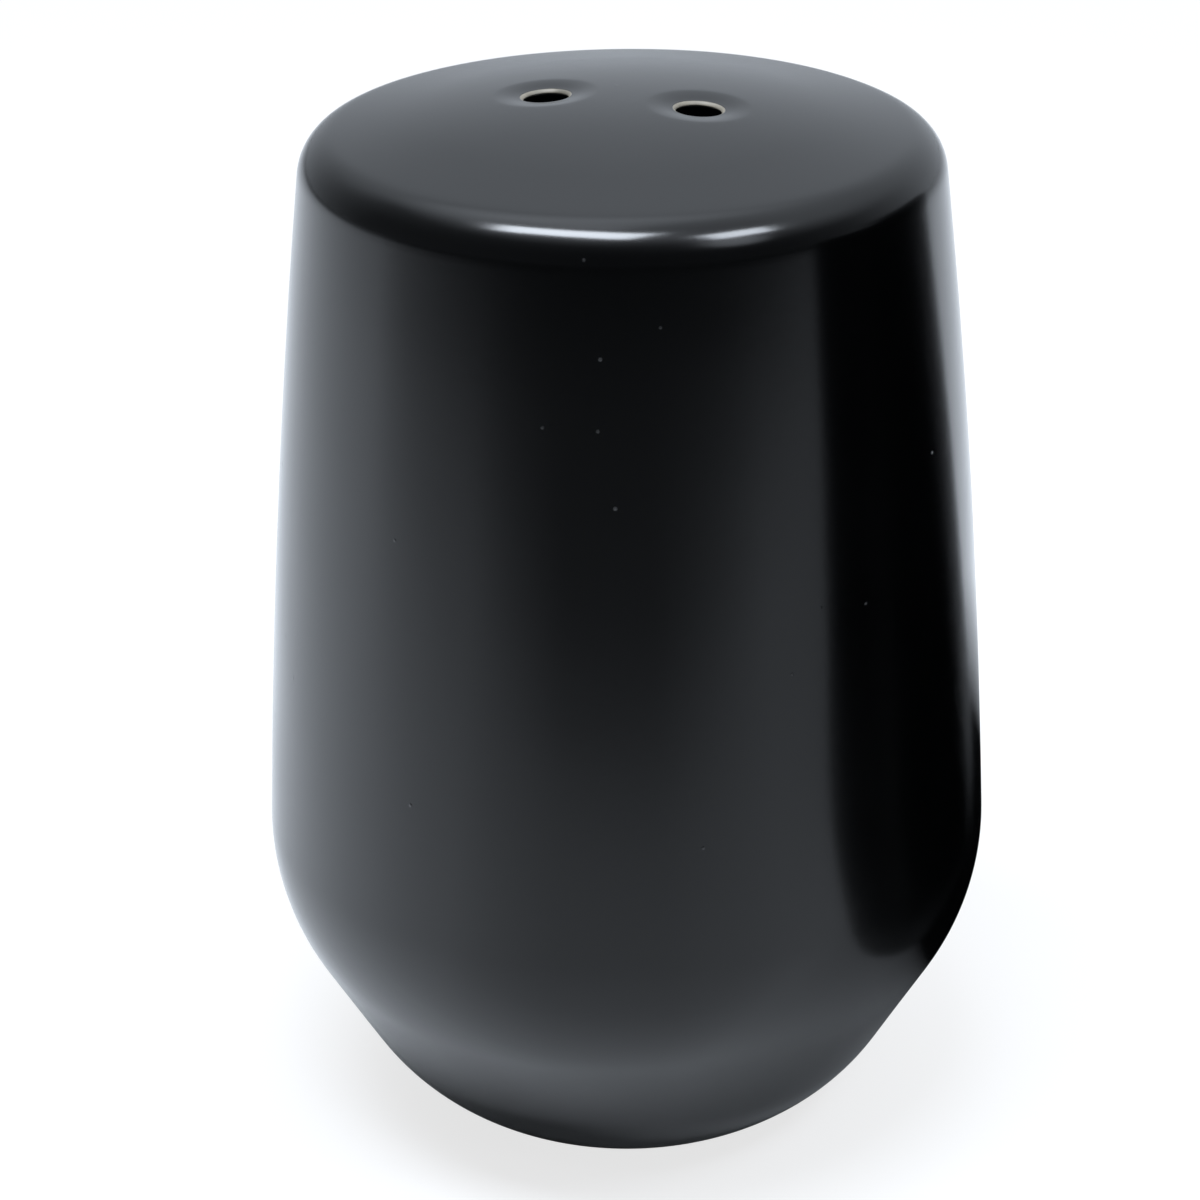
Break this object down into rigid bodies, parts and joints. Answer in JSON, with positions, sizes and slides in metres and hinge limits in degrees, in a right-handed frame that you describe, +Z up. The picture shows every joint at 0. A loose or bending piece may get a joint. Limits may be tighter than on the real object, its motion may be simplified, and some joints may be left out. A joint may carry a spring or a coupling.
{
  "type": "ceramic shaker",
  "caption": "Round one-piece ceramic salt or pepper shaker, tapering up from a rounded base, with two sift holes in a crowned top and a pull-out soft stopper in its base.",
  "frame": {"origin": "middle of the base, at the height of the table it stands on", "axes": "+Z up through the middle of the top, +X along the line of the two sift holes"},
  "size_m": [0.05, 0.05, 0.0721],
  "materials": {
    "black_glaze": "satin black glaze over stoneware, with a bare foot ring",
    "silicone": "matt translucent grey silicone"
  },
  "bodies": {
    "shaker": {"ceramic_body": "black_glaze"},
    "plug": {"stopper": "silicone"}
  },
  "joints": [
    {"name": "stopper_pull", "type": "slide", "parent": "shaker", "child": "plug", "axis": [0, 0, -1], "range_m": [0, 0.03]}
  ]
}
